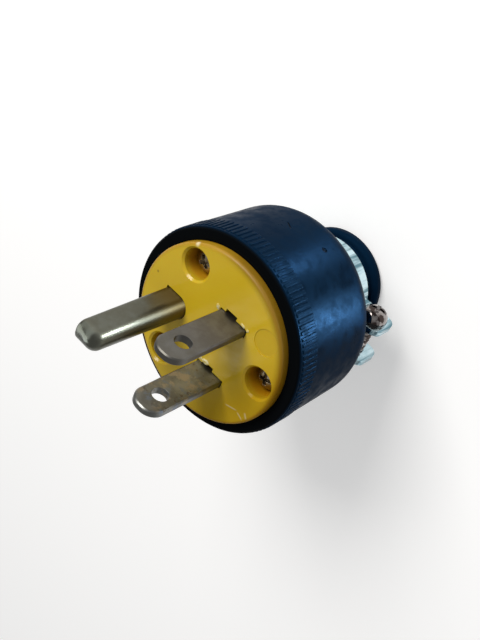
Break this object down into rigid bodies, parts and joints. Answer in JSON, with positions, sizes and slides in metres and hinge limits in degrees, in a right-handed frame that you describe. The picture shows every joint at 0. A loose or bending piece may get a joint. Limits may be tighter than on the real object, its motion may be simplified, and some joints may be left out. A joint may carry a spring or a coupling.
{
  "type": "type b plug",
  "caption": "Round rewirable mains plug with flat blades, a U-shaped ground pin, a screwed-in yellow face, a ribbed black body and a metal strap clamp that grips the cord at its neck.",
  "frame": {"origin": "centre of the rear lip's end face, on which the plug stands", "axes": "+Z along the prongs out of the face, +Y from the blades to the ground pin, +X to the line blade"},
  "size_m": [0.039, 0.039, 0.0621],
  "materials": {
    "black_vinyl": "satin moulded vinyl",
    "yellow_plastic": "glossy moulded plastic",
    "base_plastic": "matt moulded insulator",
    "blade_brass": "dull, tarnished",
    "pin_brass": "dull plated",
    "brass_screw": "bright",
    "nickel_screw": "nickel plated",
    "green_screw": "green dyed",
    "zinc_steel": "bright zinc plated"
  },
  "bodies": {
    "root": {"body_shell": "black_vinyl", "face_plate": "yellow_plastic", "terminal_base": "base_plastic", "line_blade": "blade_brass", "neutral_blade": "blade_brass", "ground_pin": "pin_brass", "line_terminal_screw": "brass_screw", "neutral_terminal_screw": "nickel_screw", "ground_terminal_screw": "green_screw", "face_screws": "nickel_screw", "clamp_upper_strap": "zinc_steel", "clamp_lower_strap": "zinc_steel", "clamp_screws": "nickel_screw"}
  },
  "joints": []
}
